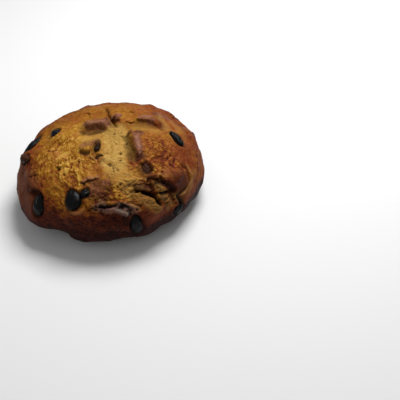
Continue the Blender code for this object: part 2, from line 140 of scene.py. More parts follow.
# Stops by azimuth and rise, for the edges round the sides.
SIDE_EDGES = (
    (((289.5, 39.6), (292, 38.9), (295, 37.8), (298, 36.2), (301.5, 33.2), (304, 28.8), (305.3, 24),
        (305.6, 18.5)), (0.0018, 0.01, 0.0024, 0.014, 0.0028, 0.0017)),
    (((305.5, 29), (307.8, 28), (310.6, 27.8), (313, 27), (315, 25.6), (316.6, 21), (317.4, 15)),
        (0.0014, 0.008, 0.0014, 0.008, 0.0022, 0.0015)),
    (((300.5, 43.2), (304, 43.2), (307, 43), (309.5, 41), (311, 38.6)),
        (0.0016, 0.004, 0.0016, 0.005, 0.0014, 0.0013)),
    (((288.5, 43.6), (292, 42.6), (296, 41.4), (300, 40.4), (303.5, 38.4), (306.5, 35.4)),
        (0.0012, 0.005, 0.001, 0.006, 0.0008, 0.0013)),
    (((301.5, 55.5), (306.5, 55.4), (310.4, 53), (312.3, 50.2), (311.5, 47)),
        (0.001, 0.003, 0.0012, 0.006, 0, 0.001)),
    (((267.5, 23.5), (272.3, 22), (276, 21.6), (279.4, 19.5), (284, 17.5)),
        (0.001, 0.006, 0.0014, 0.008, 0, 0.001)),
    (((247, 3), (252, 5), (258.3, 5.6), (261.9, 6.4), (265.2, 2.6), (268.6, 4.2), (273, 4.6), (278.4, 1.4),
        (284, -6)), (0.0012, 0.012, 0.0028, 0.012, 0.0004, 0.0018)),
    (((259, 26), (261, 27.8), (264, 29.2)), (0.0012, 0.005, 0.001, 0.004, 0.0012, 0.0013)),
    (((294.4, 26.5), (291.4, 23), (289.6, 20)), (0.0004, 0.005, 0.0008, 0.005, 0.0018, 0.0015)),
    (((210.5, 30.6), (213.5, 34.5), (216, 38.5)), (0.0008, 0.005, 0.0002, 0.004, 0.0012, 0.0014)),
    (((218.6, 21), (219.6, 26), (222.7, 29.5), (226.7, 29.2), (229.8, 25), (230.5, 20)),
        (0.001, 0.004, 0.0026, 0.01, 0, 0.001)),
    (((20, -6), (40, -12), (62, -8)), (0.0012, 0.01, 0.0012, 0.01, 0.0004, 0.0018)),
    (((100, -10), (128, -14), (150, -6)), (0.0012, 0.01, 0.0012, 0.01, 0.0004, 0.0018)),
    (((66, 50), (80, 46), (96, 50)), (0.001, 0.008, 0.0012, 0.008, 0.0006, 0.0016)),
    (((112, 24), (124, 29), (138, 27)), (0.001, 0.008, 0.0012, 0.008, 0.0014, 0.0016)),
    (((28, 26), (36, 31), (47, 30)), (0.0012, 0.008, 0.001, 0.008, 0.0008, 0.0015)),
)
EDGE_SPREAD = 0.0018  # half the band of skin that an edge takes in
EDGE_STEEPNESS = 1.15  # how far that band is gathered: 1 makes it upright, more lets it overhang
GATHERED_FOOT = 2  # how far the gathering reaches, in EDGE_SPREADs
EDGE_ENDS = 7  # an edge is at its full height one part in this many of its length from either end
CRACK_FOOT = 1.5  # how far a crack reaches, in its half widths
CRACK_SHADE_FOOT = 1.6  # and how far its shade does
UNDERCUT_SHADE = 0.75  # how dark it is under a sharp edge
UNDERCUT_WIDTH = 0.0032  # and half the width of that shade
DARK_DEPTH = 0.005  # cracks and edges of this height are as dark as can be
DARK_GROOVE = 0.003  # and grooves of this depth
BEND, ASIDE = 0.009, 0.0013  # how scores, edges, ribs and paints wander: from bend to bend, and sideways

# Paths that a rib and a paint both follow: in plan, then by azimuth and rise.
LEFT_THREAD = ((-0.0187, -0.0363), (-0.0152, -0.039), (-0.0112, -0.0425))
RIGHT_THREAD = ((-0.0136, -0.0376), (-0.0107, -0.0352), (-0.0069, -0.0332))
THREAD_GAP = ((-0.0122, -0.0402), (-0.0098, -0.0378), (-0.0069, -0.036))
KNOB_CURL = ((338.5, 33), (338.5, 27), (337.2, 21.5), (334.6, 17), (330.6, 14.2), (326, 12.9), (321.5, 12.9))
BELOW_KNOB = ((316.2, 19.5), (317.5, 14), (318, 10))
SEAM_END = ((285.5, 28), (287.4, 25.8), (289.7, 23.5), (290.8, 20.5))
BELOW_PAIR = ((246, 24.5), (248.6, 22.6), (251.5, 21), (254.5, 22), (256.6, 26))

# Ribs (+) and grooves (-): stops, half width, height. Stops in plan, for those on top.
TOP_RIBS = (
    (((-0.0062, 0.019), (-0.003, 0.015), (0.0003, 0.0095)), 0.0026, 0.0014),
    (((0.003, 0.0208), (0.0056, 0.023)), 0.004, 0.0014),
    (((0.022, 0.031), (0.029, 0.0335), (0.035, 0.0305), (0.041, 0.0255), (0.0465, 0.0205)), 0.006, 0.0012),
    (((0.0405, 0.0395), (0.045, 0.029), (0.049, 0.0195), (0.0505, 0.013)), 0.005, -0.0014),
    (((-0.03, -0.024), (-0.023, -0.0212), (-0.016, -0.019), (-0.0105, -0.018)), 0.006, 0.0012),
    (((-0.029, -0.0308), (-0.025, -0.0326), (-0.0204, -0.0336)), 0.0034, -0.001),
    (LEFT_THREAD, 0.0014, 0.001),
    (RIGHT_THREAD, 0.0014, 0.001),
    (THREAD_GAP, 0.0013, -0.0012),
    (((-0.03, -0.001), (-0.023, -0.0035), (-0.017, -0.001), (-0.011, 0.002)), 0.0045, -0.0012),
)
# Stops by azimuth and rise, for those round the sides.
SIDE_RIBS = (
    (((292, 37.6), (295, 36.4), (298, 34.4)), 0.002, -0.002),
    (((297, 35), (299, 33.8), (301.5, 30.8), (303.3, 26.5), (304.4, 20)), 0.0033, -0.006),
    (((307, 26.6), (310.5, 26.2), (313.6, 24.8)), 0.0014, -0.0018),
    (((310, 37), (313, 33.5), (315.5, 29), (317.5, 24)), 0.005, -0.0036),
    (((336, 35), (336.5, 30), (335, 24), (333, 18.5), (328.5, 14.8), (322, 14.8)), 0.0024, -0.0024),
    (KNOB_CURL, 0.0011, 0.0016),
    (((308.5, 23.5), (310.5, 19), (311, 14)), 0.006, 0.003),
    (BELOW_KNOB, 0.0026, 0.0014),
    (((319.5, 14), (320, 9), (320, 3)), 0.004, -0.0034),
    (((288, 33), (294, 30), (297.5, 26)), 0.007, 0.001),
    (((298, 27), (301, 22), (302, 16)), 0.0055, 0.002),
    (((300.5, 44.4), (303.5, 44.6), (306.8, 44.4)), 0.0016, 0.001),
    (((291, 41.2), (295, 40.2), (299, 38.6)), 0.0014, 0.001),
    (((302, 42), (305, 41), (308, 38.5)), 0.0016, 0.0012),
    (((268, 31.8), (272.7, 31.6), (276, 31.6), (279.7, 31.2), (282.7, 29.2), (285.5, 26.6)), 0.0022,
        0.0018),
    (((270.5, 29.6), (273.7, 29.1), (276.8, 29.4)), 0.0012, -0.0012),
    (((279, 29.4), (281.6, 27.6), (283.8, 24.8)), 0.0014, -0.0014),
    (((270, 27), (274.3, 25.8), (277.1, 24.6), (279.4, 22.8), (282, 20.5)), 0.0028, 0.0016),
    (SEAM_END, 0.0018, 0.0014),
    (BELOW_PAIR, 0.002, 0.0012),
    (((181, 45), (185.5, 40), (188.5, 37), (191, 35)), 0.002, 0.0012),
    (((187, 25), (190.8, 31), (196, 36.5)), 0.0035, 0.0022),
)
# Pits, each a burst bubble: azimuth, rise, radius, depth.
PITS = (
    (203.3, 79.3, 0.0016, 0.0016),
    (191.8, 83.7, 0.0016, 0.0014),
    (227.9, 82.0, 0.0016, 0.0012),
    (310.6, 87.4, 0.0016, 0.0012),
    (8.1, 84.0, 0.0014, 0.001),
    (287.6, 77.5, 0.0015, 0.0014),
    (315.0, 75.3, 0.0018, 0.0016),
    (272.4, 61.9, 0.0026, 0.0016),
    (275.7, 61.1, 0.0018, 0.001),
    (280.8, 57.5, 0.0016, 0.0012),
    (278.5, 43.9, 0.0017, 0.0016),
    (280.5, 45.0, 0.0015, 0.0012),
    (312.4, 39.6, 0.0024, 0.0032),
    (308.4, 44.6, 0.0016, 0.0014),
    (311.0, 47.0, 0.0016, 0.0012),
    (309.6, 42.4, 0.0014, 0.0012),
    (221.5, 53.8, 0.0014, 0.0014),
    (281.2, 45.6, 0.002, 0.0016),
    (222.7, 57.2, 0.0015, 0.001),
)

# What the crust shows where, its own colours and painted light and shade: what, stops, half width,
# softness of its border, share.
PAINTS = (
    ("opened", "green", "skin", "dark", "char", "ash")
    + ("gap", "pale", "smooth", "folded", "glints", "sheen")
)
# Stops in plan, for the places on top.
TOP_PAINTS = (
    ("opened", ((0.003, -0.001), (0.006, -0.022), (0.006, -0.044)), 0.0128, 0.009, 1.0),
    ("opened", ((0.006, -0.05), (0.015, -0.058), (0.022, -0.066)), 0.011, 0.01, 0.55),
    ("opened", ((0.0, -0.003), (-0.022, -0.012)), 0.008, 0.006, 0.6),
    # Olive-brown painted shade in the score valleys, under the block and beside the flap's cliff.
    ("green", ((-0.029, -0.001), (-0.022, -0.0012), (-0.015, 0.001), (-0.008, 0.004)), 0.0034, 0.006, 0.75),
    ("green", ((0.0135, -0.006), (0.0172, -0.016), (0.0212, -0.027), (0.0232, -0.037)), 0.0038, 0.005, 1.0),
    ("green", ((0.024, 0.0145), (0.031, 0.0145), (0.04, 0.013)), 0.005, 0.004, 0.5),
    ("opened", ((0.023, 0.008), (0.033, 0.009), (0.045, 0.006)), 0.006, 0.008, 0.4),
    ("opened", ((0.0441, 0.0381), (0.0506, 0.0246), (0.0571, 0.0099), (0.06, -0.001)), 0.003, 0.005, 0.4),
    ("opened", ((0.0597, 0.032), (0.0658, 0.0204), (0.068, 0.013)), 0.0034, 0.006, 0.28),
    ("green", ((-0.006, 0.0175), (-0.0005, 0.0095)), 0.0028, 0.002, 0.6),
    ("green", ((0.033, -0.049), (0.035, -0.053)), 0.005, 0.004, 0.6),
    ("green", ((0.001, 0.001), (0.006, -0.008)), 0.009, 0.01, 0.24),
    ("green", ((-0.0285, 0.005), (-0.024, 0.007)), 0.0034, 0.004, 0.8),
    ("skin", ((-0.0225, 0.0104), (-0.015, 0.013), (-0.0088, 0.0138)), 0.0072, 0.005, 0.86),
    ("skin", ((0.02, -0.0035), (0.03, -0.0025)), 0.004, 0.005, 0.85),
    ("skin", ((0.0255, -0.007), (0.0275, -0.018), (0.03, -0.033)), 0.004, 0.0034, 1.0),
    ("skin", ((0.0265, 0.024), (0.033, 0.0238), (0.0385, 0.0215)), 0.0032, 0.003, 0.9),
    ("skin", ((0.0028, 0.02), (0.006, 0.0232)), 0.0036, 0.002, 0.95),
    ("skin", ((0.044, 0.042), (0.052, 0.036)), 0.005, 0.004, 0.7),
    ("skin", ((-0.025, -0.0235), (-0.019, -0.021), (-0.013, -0.0185)), 0.0034, 0.006, 0.75),
    # Pinkish painted highlight on the tops of the flap, the block, the bar and the button.
    ("sheen", ((0.0272, -0.01), (0.0285, -0.025)), 0.0014, 0.004, 0.8),
    ("sheen", ((-0.021, 0.0126), (-0.015, 0.015), (-0.009, 0.0158)), 0.0016, 0.005, 0.8),
    ("sheen", ((0.03, 0.0262), (0.036, 0.0245)), 0.001, 0.003, 1.0),
    ("sheen", ((0.004, 0.0235), (0.006, 0.0245)), 0.0014, 0.003, 1.0),
    # Dark rows: partly painted shade, under the block and ridges and along cracks, and partly darker crust,
    # as on the C patch.
    ("dark", ((-0.025, 0.003), (-0.02, 0.004), (-0.014, 0.0058), (-0.0085, 0.0072)), 0.0024, 0.003, 0.9),
    ("dark", ((-0.026, 0.0015), (-0.02, 0.0014), (-0.015, 0.0028), (-0.0085, 0.0052)), 0.002, 0.006, 0.5),
    ("dark", ((0.0275, -0.034), (0.029, -0.038), (0.033, -0.036)), 0.0028, 0.004, 0.95),
    ("dark", ((0.017, -0.0015), (0.024, 0.0005), (0.03, -0.0005)), 0.002, 0.003, 0.7),
    ("dark", ((0.0165, -0.006), (0.0195, -0.0025), (0.022, -0.0015)), 0.0016, 0.002, 0.9),
    ("dark", ((-0.028, -0.0312), (-0.025, -0.0328), (-0.021, -0.0336)), 0.0024, 0.003, 0.9),
    # Nearly black painted shade in the groove between the threads.
    ("gap", THREAD_GAP, 0.0009, 0.001, 0.9),
    ("dark", ((-0.0092, -0.0409), (-0.005, -0.0415)), 0.002, 0.003, 0.5),
    ("dark", ((0.0, 0.018), (0.0034, 0.0153), (0.0066, 0.0168)), 0.001, 0.002, 0.9),
    ("dark", ((-0.0245, -0.0655), (-0.0205, -0.0662), (-0.0175, -0.0638), (-0.014, -0.0645),
        (-0.0085, -0.0628)), 0.0011, 0.0014, 1.0),
    ("dark", ((0.0028, -0.0735), (0.0036, -0.069), (0.003, -0.063), (0.0, -0.059)), 0.001, 0.002, 0.75),
    # Pinkish painted highlight on the ridge over the C line.
    ("sheen", ((-0.0225, -0.064), (-0.015, -0.0622), (-0.009, -0.0604)), 0.001, 0.003, 0.6),
    # Pale painted highlight along the two raised threads.
    ("pale", LEFT_THREAD, 0.0008, 0.001, 0.9),
    ("pale", RIGHT_THREAD, 0.0008, 0.001, 0.9),
)
# Stops by azimuth and rise, for the places round the sides.
SIDE_PAINTS = (
    ("opened", ((287, 36), (291, 33.5), (294.5, 32)), 0.004, 0.006, 0.35),
    ("opened", ((294, 30), (298, 25), (301, 19)), 0.006, 0.008, 0.4),
    # Olive-brown painted shade on the slab under the crevice and in the hollows beside and below the knob.
    ("green", ((289, 35.2), (293, 33), (296.5, 30)), 0.005, 0.005, 0.4),
    ("green", ((298, 26), (300.5, 22), (302, 16)), 0.003, 0.005, 0.6),
    ("opened", ((308.5, 24), (310.5, 18), (311, 10)), 0.0055, 0.004, 0.25),
    ("opened", BELOW_KNOB, 0.0018, 0.002, 0.5),
    ("green", ((319, 15), (320, 9), (320, 3)), 0.004, 0.004, 0.9),
    # Nearly black painted shade deep in the crevice.
    ("gap", ((292, 37.8), (294.5, 37), (297, 35.7)), 0.0004, 0.0014, 0.8),
    ("gap", ((297, 35.6), (299, 34.1), (301.3, 31), (303.2, 26.5)), 0.0014, 0.0014, 1.0),
    # Pale painted highlight on the crevice's upper lip.
    ("pale", ((293, 40), (296, 39), (299.5, 37), (302, 34.6)), 0.0006, 0.001, 0.8),
    ("gap", ((303, 26.5), (304, 22.5), (304.3, 18)), 0.0011, 0.0014, 1.0),
    ("smooth", ((321, 37), (324, 28)), 0.0115, 0.006, 0.6),
    ("folded", ((288, 41), (297, 40.5), (304, 38.5), (309, 35)), 0.008, 0.005, 1.0),
    ("folded", ((306, 24), (310, 20), (312, 13)), 0.006, 0.004, 0.7),
    ("folded", ((288, 36.5), (293, 34), (297, 29), (300, 22)), 0.007, 0.006, 0.4),
    ("opened", ((308.3, 36.5), (309.3, 31.5)), 0.004, 0.004, 0.65),
    ("smooth", ((175, 30), (195, 22), (212, 20), (228, 10)), 0.012, 0.012, 0.6),
    # Small pinkish painted highlights on the C patch.
    ("glints", ((260.5, 43), (264, 43), (268, 44), (270, 48)), 0.004, 0.006, 0.85),
    ("smooth", ((350, 42), (343, 30), (338, 18), (332, 8)), 0.009, 0.01, 0.75),
    # Nearly black painted shade in the second crevice and the hollow below the knob.
    ("gap", ((307, 26.9), (310.5, 26.6), (313.6, 25)), 0.001, 0.001, 1.0),
    ("gap", ((320, 8), (320, 3)), 0.0016, 0.003, 0.9),
    # Dark rows: painted shade round the crevice, on the knob's lower side and in the hollow over a raisin,
    # and darker crust on the C patch.
    ("dark", ((309.5, 38), (312.5, 35), (315.5, 30), (317.5, 24)), 0.0042, 0.005, 0.95),
    ("dark", ((322, 33), (326, 28), (325, 20)), 0.0076, 0.011, 0.85),
    ("opened", ((341, 20), (333, 14), (326, 13)), 0.0046, 0.008, 0.2),
    ("dark", ((295, 41.2), (301, 40.2), (306.5, 37.2), (310, 33)), 0.0062, 0.006, 0.54),
    ("dark", ((302, 42.2), (306, 41.6), (309, 39.6)), 0.0016, 0.002, 0.9),
    ("dark", ((288, 42.8), (292, 42), (296.5, 40.8)), 0.0014, 0.002, 0.8),
    ("dark", ((272, 53), (273.3, 47.5), (272.6, 43)), 0.0014, 0.003, 0.75),
    ("skin", ((301.5, 43.6), (304, 43.8), (307, 43.6), (309.3, 41.8)), 0.0012, 0.0015, 0.8),
    ("skin", ((291, 40.6), (295, 39.6), (298, 38), (301, 35.6)), 0.0012, 0.0015, 0.7),
    ("skin", ((257, 47.5), (263, 46), (269.5, 46)), 0.006, 0.007, 0.4),
    ("dark", ((261, 46), (268, 47), (270.5, 44), (270.5, 39)), 0.0046, 0.006, 0.62),
    ("dark", ((259.5, 39.4), (264, 37.4), (269.5, 37)), 0.0056, 0.006, 0.95),
    ("skin", ((213, 30), (218, 24), (223, 8)), 0.01, 0.014, 0.35),
    # Pinkish painted highlight on the knob.
    ("sheen", ((316, 39.5), (320.5, 41.2)), 0.002, 0.006, 0.35),
    ("char", ((265, 29), (270, 28.5), (275, 27.5), (280, 26.5), (285, 24.5)), 0.005, 0.005, 1.0),
    ("char", ((285, 21), (288, 22)), 0.0036, 0.004, 0.8),
    # Nearly black painted shade under the seam's folds.
    ("gap", ((270.5, 29.9), (273, 29.4), (276.5, 29.7)), 0.0004, 0.0012, 0.9),
    ("gap", ((279.5, 29.4), (282, 27.8), (284, 25.2)), 0.001, 0.0024, 0.9),
    # Whitish painted highlight on the charred folds of the seam.
    ("ash", ((277, 25.4), (280, 23.8), (283, 21.6)), 0.0018, 0.0034, 0.7),
    ("ash", ((277, 30.6), (280.5, 29.8), (284, 28.4)), 0.0006, 0.0014, 0.5),
    ("dark", ((216, 23), (221, 24.5), (227, 25)), 0.005, 0.005, 0.8),
    # Pale painted highlight along the knob's curl, the lips and the raised strands round the sides.
    ("pale", KNOB_CURL, 0.0008, 0.0012, 1.0),
    ("pale", ((301.5, 55.5), (306.5, 55.4), (310.4, 53), (312.3, 50.2)), 0.0008, 0.001, 0.8),
    ("pale", ((307.5, 28.8), (310.6, 28.6), (313.5, 27.8)), 0.0008, 0.001, 0.7),
    ("pale", ((311.6, 41.3), (313.6, 41.6), (314.8, 40.2)), 0.0008, 0.001, 0.8),
    ("pale", SEAM_END, 0.0015, 0.002, 0.7),
    ("pale", BELOW_PAIR, 0.0016, 0.002, 0.5),
)
# How the oven baked it: azimuth, the rise down to which it is golden, how dark the side is below.
BAKING = (
    (0, 40, 0.5),
    (30, 42, 0.52),
    (60, 42, 0.56),
    (120, 42, 0.62),
    (180, 40, 0.54),
    (210, 41, 0.6),
    (225, 36, 0.68),
    (240, 18, 0.78),
    (255, 22, 0.8),
    (270, 26, 0.8),
    (285, 26, 0.8),
    (300, 29, 0.6),
    (315, 34, 0.62),
    (330, 44, 0.54),
    (345, 46, 0.5),
    (360, 40, 0.5),
)
# Places on the golden top baked more (+) or less (-): azimuth, rise, half angle, by how much.
GOLDEN_PATCHES = (
    (212, 63, 32, -0.2),
    (332, 46, 15, 0.13),
    (165, 48, 15, 0.06),
    (228, 46, 14, 0.09),
    (336, 14, 12, -0.14),
)
UNDERSIDE_SHADE = 0.97
# Lumps all over: the distance between two, how far they stand out.
LUMPS = ((0.027, 0.0022), (0.011, 0.0011))

# The raisins: azimuth, rise, length, width, thickness, turn of the length from the horizontal,
# and how far the middle lies under the crust.
RAISINS = (
    (175.5, 53.5, 0.0118, 0.011, 0.0084, 20, 0.001),
    (359.8, 47.2, 0.0205, 0.0092, 0.0082, 42, 0.0012),
    (248.4, 32.4, 0.0205, 0.016, 0.0115, 120, 0.0018),
    (254.8, 39.0, 0.01, 0.0084, 0.007, 60, 0.001),
    (227.2, 15.6, 0.0205, 0.0125, 0.009, 100, 0.0022),
    (178.8, 34.5, 0.0235, 0.0094, 0.0084, 150, 0.001),
    (194.8, 33.2, 0.0135, 0.0095, 0.0085, 40, 0.0002),
    (287.5, 4.8, 0.0215, 0.013, 0.0094, 95, 0.0018),
    (308.4, 50.4, 0.013, 0.0086, 0.0076, 70, 0.002),
    (244.4, 73.8, 0.0115, 0.005, 0.0056, 100, 0.0014),
    (22, 20, 0.011, 0.008, 0.007, 110, 0.0016),
    (318, -4, 0.013, 0.01, 0.008, 20, 0.0018),
    (10, -6, 0.012, 0.009, 0.008, 70, 0.0016),
    (52, 12, 0.015, 0.01, 0.0085, 35, 0.0014),
    (84, 10, 0.012, 0.011, 0.008, 130, 0.0012),
    (118, 6, 0.017, 0.01, 0.0085, 60, 0.0016),
    (148, 14, 0.011, 0.009, 0.0075, 0, 0.0014),
    (98, -12, 0.013, 0.0095, 0.008, 100, 0.0018),
)
# Raisins that a film of browned dough covers, and how much of it shows.
COATS = {7: 0.75, 9: 0.6, 10: 0.25}

# ---------------------------------------------------------------- fine relief

CELLS = 158  # along each side of the dome's square cap
RING_ROWS = 109  # of cells from the cap's edge down the sides and under the loaf
LOWEST_RISE = -62  # the last row lies here, well inside the flat underside
FINEST_PLACE = (285, 45)  # the cells are smallest here
FINER = 0.28  # how much smaller than the average
# Strokes that stretching drew into the crust, round the loaf: distance between two, height of the raised
# ones, depth of the sunk ones, how many times longer than wide.
STROKES = (0.0062, 0.00044, 0.00062, 1.8)
FINE_STROKES = (0.0034, 0.0004, 0.0005, 1.7)
STROKE_SLANT = 0.035  # how far the strokes come down from the left front to the right front
FOLDS = (0.0052, 0.0011, 0.0013, 4.5)  # the same, for the folds over the crevice
ROLLED_SHARE = 0.85  # of RADIUS, at which the crust is rolled out for the strokes
STROKE_BENDS = ((0.026, 0.005), (0.008, 0.0026))  # how they wander: from bend to bend, and how far
GRAIN_LENGTH = 2.2  # how many times longer than wide the crust's flakes are drawn
FRAYS = ((0.01, 0.0024), (0.0034, 0.001))  # the same, for the frayed borders of paints
FRAYED_BORDER = 0.005  # borders this soft are frayed in full
SMOOTH_BELOW, SMOOTH_OVER = 26, 24  # the rise below which flakes fade, over so many degrees
TOP_ABOVE, TOP_OVER = 40, 10  # the rise above which opened crumb has pores, over so many degrees
WRINKLE_SPAN = 0.0018  # the fine relief's height from its darkest painted shade to its palest painted highlight
PIT_FOOT = 1.1  # how far a pit reaches, in its radii
PORE_SPACING = 0.0042
PORE_DEPTH = 0.001
CRUMPLE = 0.0017  # how far the burnt folds are crumpled
# Round each raisin: height or depth, how far out its middle lies, half width.
POCKET_LIP = (0.0009, 0.0022, 0.0034)
POCKET_GROOVE = (0.0012, 0.0002, 0.0016)
POCKET_SHADE_WIDTH = 0.0022
POCKET_BED = (1.6, 0.97, 0.45)  # depth in half thicknesses, the share of the raisin where it starts, slope
POCKET_REACH = 0.012  # into the loaf and out of it
POCKET_UNEVENNESS = (0.006, 0.08)  # from bend to bend, share of the raisin
RAISIN_SMOOTHNESS = 4  # subdivisions of each raisin's ball
RAISIN_WRINKLES = ((0.005, 0.00048), (0.0022, 0.00012))
RAISIN_TAPER = 0.24  # how much narrower than its middle a raisin is at its far end
RAISIN_UNEVENNESS = 0.13  # how far its humps stand out, for a raisin of radius 1
RAISIN_HUMP = 0.8  # and how wide they are
RAISIN_SWELL = 0.0003  # how far the skin between the wrinkles stands out
CREASE_DEPTH = 0.0008  # a wrinkle of this depth has its painted shade as dark as can be
TINY = 1e-4
UP = np.array([0.0, 0.0, 1.0])


def ease(value):
    """A smooth step from 0 at 0 to 1 at 1."""
    value = np.clip(value, 0, 1)
    return value * value * (3 - 2 * value)


def bell(value):
    """1 at 0, falling to 0 at -1 and 1."""
    return ease(1 - np.abs(value))


def length_of(vectors):
    return np.linalg.norm(vectors, axis=-1, keepdims=True)


def unit(vectors):
    return vectors / np.maximum(length_of(vectors), 1e-12)


def towards(azimuth, rise):
    """The direction from the heart to a place on the crust."""
    flat = cos(radians(rise))
    return np.array([cos(radians(azimuth)) * flat, sin(radians(azimuth)) * flat, sin(radians(rise))])


def rise_of(directions):
    """How far above the horizontal each direction points, in radians."""
    return np.arcsin(np.clip(directions[:, 2], -1, 1))


def azimuth_of(directions):
    return np.degrees(np.arctan2(directions[:, 1], directions[:, 0]))


def angle_from(directions, azimuth, rise):
    """Degrees between each direction and a place on the crust."""
    return np.degrees(np.arccos(np.clip(directions @ towards(azimuth, rise), -1, 1)))


def hashed_gradients(cells, seed):
    """A repeatable random unit vector for each lattice cell."""
    mixed = cells[:, 0] * 73856093 ^ cells[:, 1] * 19349663 ^ cells[:, 2] * 83492791 ^ seed * 2654435
    mixed = (mixed ^ (mixed >> 13)) * 1274126177 & 0x7FFFFFFF
    height = (mixed % 8191) / 4095.0 - 1
    turn = (mixed // 8191 % 8191) / 8191.0 * 2 * np.pi
    flat = np.sqrt(np.maximum(0, 1 - height * height))
    return np.stack([flat * np.cos(turn), flat * np.sin(turn), height], axis=1)


def noise(points, wavelength, seed):
    """Gradient noise, about -1 to 1, whose humps are a wavelength apart."""
    scaled = points / wavelength
    cells = np.floor(scaled).astype(np.int64)
    inside = scaled - cells
    fade = inside**3 * (inside * (inside * 6 - 15) + 10)
    total = np.zeros(len(points))
    for corner in itertools.product((0, 1), repeat=3):
        share = np.prod(np.where(corner, fade, 1 - fade), axis=1)
        slope = hashed_gradients(cells + corner, seed)
        total += share * np.sum(slope * (inside - corner), axis=1)
    return total * 1.6


def wandering(points, wavelength, reach, seed):
    """Points moved about by noise, so that what is drawn by them has uneven edges."""
    return points + np.stack([noise(points, wavelength, seed + axis) for axis in range(3)], axis=1) * reach


def creases(points, wavelength, seed):
    """Noise with rounded humps and sharp creases between them, about -1 to 1."""
    return 1 - 2.6 * np.abs(noise(points, wavelength, seed))


def dome(directions):
    """Points of the smooth form, before scores, folds and lumps, in these directions from the heart."""
    flat = np.hypot(directions[:, 0], directions[:, 1])
    over = directions[:, 2] > 0
    power = np.where(over, TOP_ROUNDNESS, UNDER_ROUNDNESS)
    reach = (flat**power + np.abs(directions[:, 2]) ** power) ** (-1 / power)
    azimuth = azimuth_of(directions)
    radius = np.full(len(directions), RADIUS)
    for middle, half_width, gain in SPREADS:
        away = (azimuth - middle + 180) % 360 - 180
        radius += gain * (0.5 + 0.5 * np.cos(np.pi * np.clip(away / half_width, -1, 1)))
    depth = np.where(over, HEIGHT - HEART[2], UNDER_DEPTH)
    points = directions * (reach[:, None] * np.stack([radius, radius, depth], axis=1))
    outward = unit(points)
    for middle, rise, half_angle, gain in SWELLS:
        away = angle_from(directions, middle, rise)
        points += outward * (gain * (0.5 + 0.5 * np.cos(np.pi * np.clip(away / half_angle, 0, 1))))[:, None]
    return HEART + points


def dome_frame(directions):
    """The smooth form's points, with its horizontal and upward tangents and its outward normals."""
    sideways = unit(np.cross(UP, directions) + [TINY, 0, 0])
    upward = np.cross(directions, sideways)
    points = dome(directions)
    along = unit(dome(unit(directions + TINY * sideways)) - points)
    rising = unit(dome(unit(directions + TINY * upward)) - points)
    normals = unit(np.cross(along, rising))
    return points, along, np.cross(normals, along), normals


def offset_from_path(points, normals, stops):
    """How far each point lies to the left of a broken line along the crust, how far along the line from
    0 to 1, and the direction of its left-hand side."""
    nearest = np.full(len(points), np.inf)
    offset = np.zeros(len(points))
    along = np.zeros(len(points))
    aside = np.zeros_like(points)
    stops = np.array(stops)
    steps = np.diff(stops, axis=0)
    starts = np.concatenate([[0], np.cumsum(length_of(steps)[:, 0])])
    for start, step, begin in zip(stops, steps, starts):
        share = np.clip((points - start) @ step / (step @ step), 0, 1)
        gap = points - start - share[:, None] * step
        distance = length_of(gap)[:, 0]
        left = np.sign(np.sum(np.cross(normals, step) * gap, axis=1))
        closer = distance < nearest
        nearest = np.where(closer, distance, nearest)
        offset = np.where(closer, distance * left, offset)
        along = np.where(closer, (begin + share * length_of(step)) / starts[-1], along)
        aside = np.where(closer[:, None], unit(gap) * left[:, None], aside)
    return offset, along, aside


def score_depth(flat_points):
    """How deep the opened scores are at each place in plan."""
    depth = np.zeros(len(flat_points))
    for stops, half_width, full_depth in SCORES:
        offset, _, _ = offset_from_path(flat_points, UP, on_plan(stops))
        share = ease(SCORE_FLOOR - np.abs(offset) / half_width * SCORE_SLOPE)
        depth = np.maximum(depth, full_depth * share)
    return depth


def on_plan(stops):
    """Stops in plan, as points at the level of the ground."""
    return np.array([HEART * (1, 1, 0) + (*stop, 0) for stop in stops])


def on_side(stops):
    """Stops by azimuth and rise, as points of the smooth form."""
    return dome(np.array([towards(*stop) for stop in stops]))


def near_path(points, path, reach):
    """Which points can lie within reach of a path."""
    middle = path.mean(axis=0)
    return np.flatnonzero(length_of(points - middle)[:, 0] < length_of(path - middle).max() + reach)


def beside(place, normals, over, on_top, path, reach):
    """Which points lie within reach of a path, with what offset_from_path says of them."""
    place = place * (1, 1, 0) if on_top else place
    near = near_path(place, path, reach)
    near = near[over[near]] if on_top else near
    return near, *offset_from_path(place[near], UP if on_top else normals[near], path)


def edge_relief(offset, along, aside, levels):
    """How far an edge moves points along their normals, how it gathers them sideways, and the painted
    shade of its crack and of its overhung side, from 0 to 1."""
    lip, lip_width, drop, drop_width, crack, crack_width, *soft = levels
    spread = soft[0] if soft else EDGE_SPREAD
    taper = ease(np.minimum(along, 1 - along) * EDGE_ENDS)
    step = ease(0.5 + 0.5 * offset / spread)
    raised = lip * step * ease(1 - (offset - spread) / lip_width)
    lowered = drop * (1 - step) * ease(1 + (offset + spread) / drop_width)
    cleft = crack * bell(offset / crack_width / CRACK_FOOT)
    steepness = 0 if soft else EDGE_STEEPNESS
    gathered = -steepness * offset * bell(offset / EDGE_SPREAD / GATHERED_FOOT) * taper
    cracked = bell(offset / crack_width / CRACK_SHADE_FOOT) * min(1, crack / DARK_DEPTH)
    undercut = UNDERCUT_SHADE * bell((offset + spread) / UNDERCUT_WIDTH) * min(1, (lip + drop) / DARK_DEPTH)
    shade = np.maximum(cracked, undercut * (not soft))
    return (raised - lowered - cleft) * taper, gathered[:, None] * aside, shade * taper


def stretches():
    """Each table of the crust's features, on top and round the sides, as rows of a path and its numbers."""
    for rows_on_top, rows_on_side in ((TOP_EDGES, SIDE_EDGES), (TOP_RIBS, SIDE_RIBS)):
        yield [(True, on_plan(stops), numbers) for stops, *numbers in rows_on_top] + [
            (False, on_side(stops), numbers) for stops, *numbers in rows_on_side
        ]


